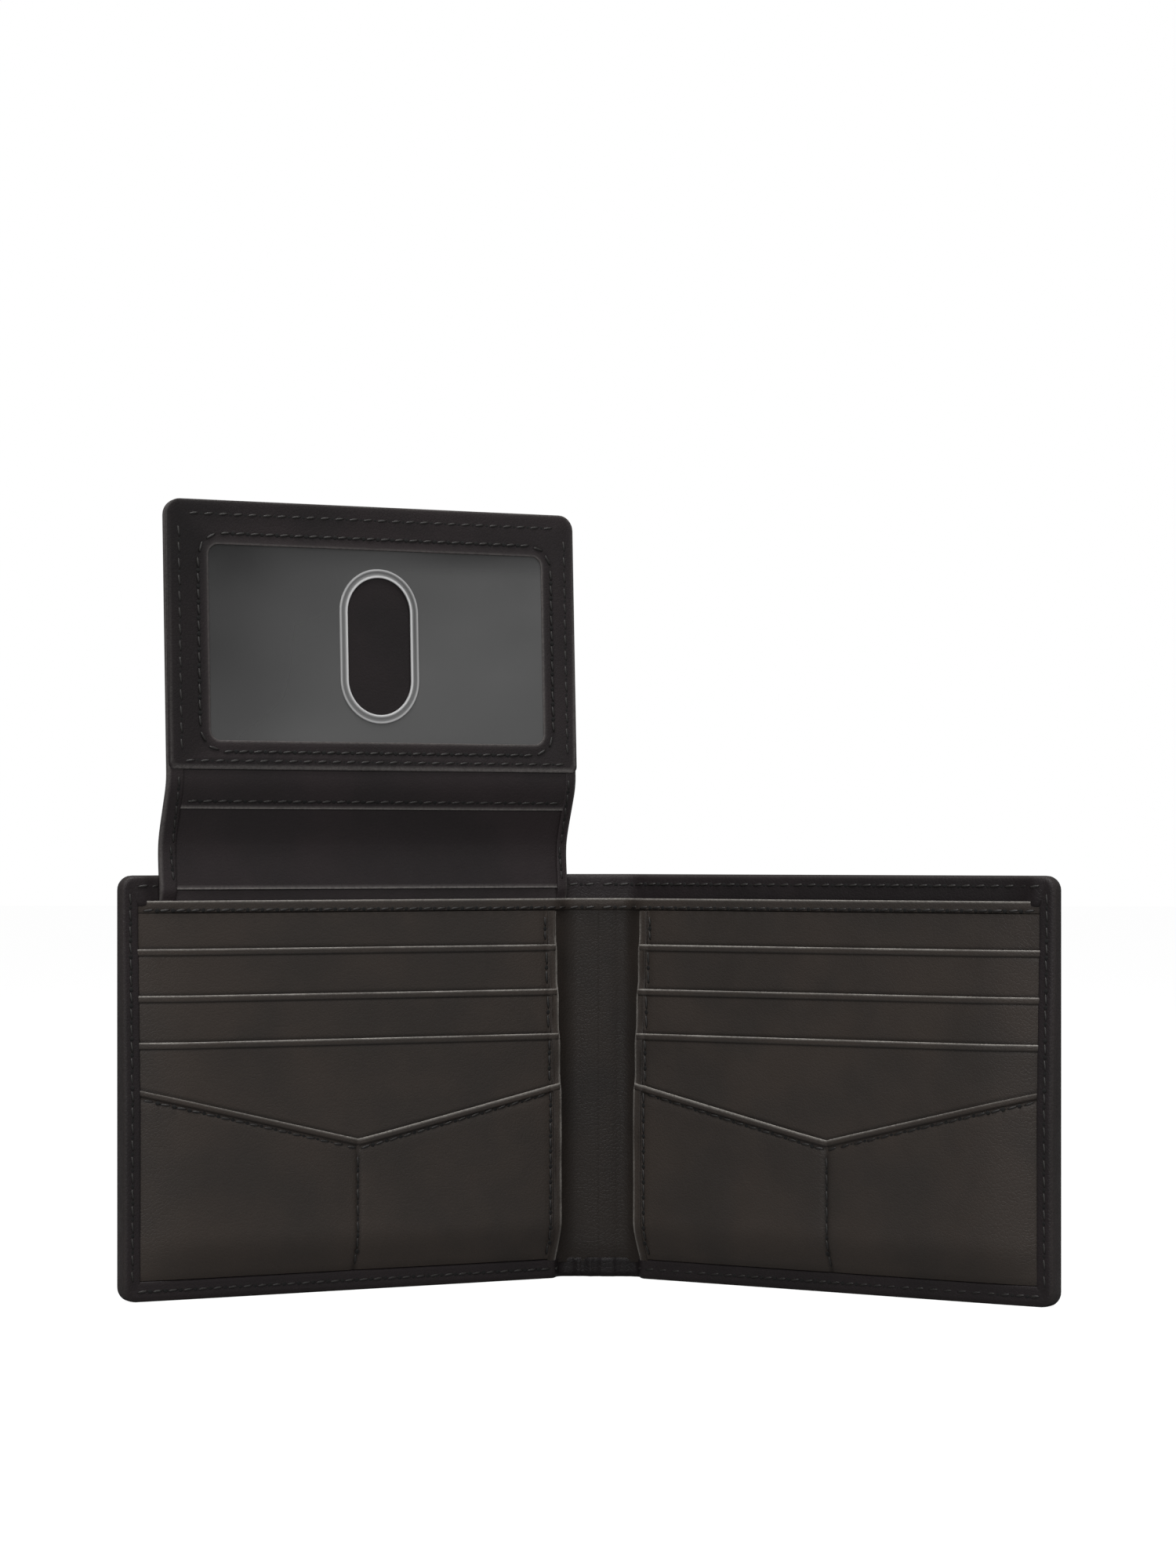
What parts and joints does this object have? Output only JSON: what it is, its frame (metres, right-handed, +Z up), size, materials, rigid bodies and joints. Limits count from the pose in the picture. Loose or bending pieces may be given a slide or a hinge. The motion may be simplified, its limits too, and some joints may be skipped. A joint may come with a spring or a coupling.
{
  "type": "bifold wallet with identity flap",
  "caption": "Bifold leather wallet standing open, with stepped card pockets, a notched lower pocket, a bill compartment and a flip-up window flap.",
  "frame": {"origin": "middle of the base of the bounding box, on the surface that the wallet stands on", "axes": "+X runs across the wallet from the left cover to the right cover, +Y runs from the open side to the spine, +Z is up"},
  "size_m": [0.197, 0.0632, 0.168],
  "materials": {
    "film": "clear flexible film over dark leather, glossy with faint ripples",
    "film_rim": "welded raised rim of the clear film, glossy",
    "flap_leather": "smooth leather, dark brown, satin with fine grain",
    "hem_leather": "thinned and turned leather edge, satin, slightly more polished at the fold",
    "lining": "close-woven black lining, matt",
    "pocket_leather": "thin smooth leather, dark brown, satin with fine grain and paler rubbed mouths",
    "shell_leather": "smooth vegetable-tanned leather, dark brown-black, soft satin with a fine grain",
    "thread": "waxed tone-on-tone thread, low sheen"
  },
  "bodies": {
    "spine": {"spine_shell": "shell_leather", "spine_lining": "lining", "spine_divider": "pocket_leather", "spine_lower_hem": "hem_leather", "spine_shell_thread": "thread", "spine_divider_thread": "thread"},
    "left_cover": {"left_shell": "shell_leather", "left_lining": "lining", "left_divider": "pocket_leather", "left_divider_hem": "hem_leather", "left_slip_panel": "pocket_leather", "left_pocket_1": "pocket_leather", "left_pocket_2": "pocket_leather", "left_pocket_3": "pocket_leather", "left_notch_pocket": "pocket_leather", "left_side_hem": "hem_leather", "left_lower_hem": "hem_leather", "left_flap_root": "flap_leather", "left_shell_thread": "thread", "left_divider_thread": "thread", "left_hem_thread": "thread", "left_notch_thread": "thread", "left_centre_thread": "thread", "left_stack_thread": "thread"},
    "right_cover": {"right_shell": "shell_leather", "right_lining": "lining", "right_divider": "pocket_leather", "right_divider_hem": "hem_leather", "right_slip_panel": "pocket_leather", "right_pocket_1": "pocket_leather", "right_pocket_2": "pocket_leather", "right_pocket_3": "pocket_leather", "right_notch_pocket": "pocket_leather", "right_side_hem": "hem_leather", "right_lower_hem": "hem_leather", "right_shell_thread": "thread", "right_divider_thread": "thread", "right_hem_thread": "thread", "right_notch_thread": "thread", "right_centre_thread": "thread", "right_stack_thread": "thread"},
    "flap_strip": {"strip_back": "flap_leather", "strip_front": "flap_leather", "strip_thread": "thread"},
    "window_wing": {"wing_back": "flap_leather", "wing_front": "flap_leather", "window_frame": "flap_leather", "window_film": "film", "thumb_rim": "film_rim", "window_thread": "thread", "wing_edge_thread": "thread", "wing_foot_thread": "thread"}
  },
  "joints": [
    {"name": "left_fold", "type": "hinge", "parent": "spine", "child": "left_cover", "pos_m": [-0.00675, 0.02892, 0.0445], "axis": [0, 0, 1], "range_deg": [-32, 58]},
    {"name": "right_fold", "type": "hinge", "parent": "spine", "child": "right_cover", "pos_m": [0.00675, 0.02892, 0.0445], "axis": [0, 0, -1], "range_deg": [-32, 58]},
    {"name": "flap_flip", "type": "hinge", "parent": "left_cover", "child": "flap_strip", "pos_m": [-0.04658, 0.00038, 0.0855], "axis": [0.848, 0.5299, 0], "range_deg": [0, 168.5]},
    {"name": "wing_crease", "type": "hinge", "parent": "flap_strip", "child": "window_wing", "pos_m": [-0.04631, -0.00005, 0.10453], "axis": [0.848, 0.5299, 0], "range_deg": [0, 13.5]}
  ],
  "couplings": [
    {"joint": "wing_crease", "follows": "flap_flip", "ratio": 0.0801}
  ]
}
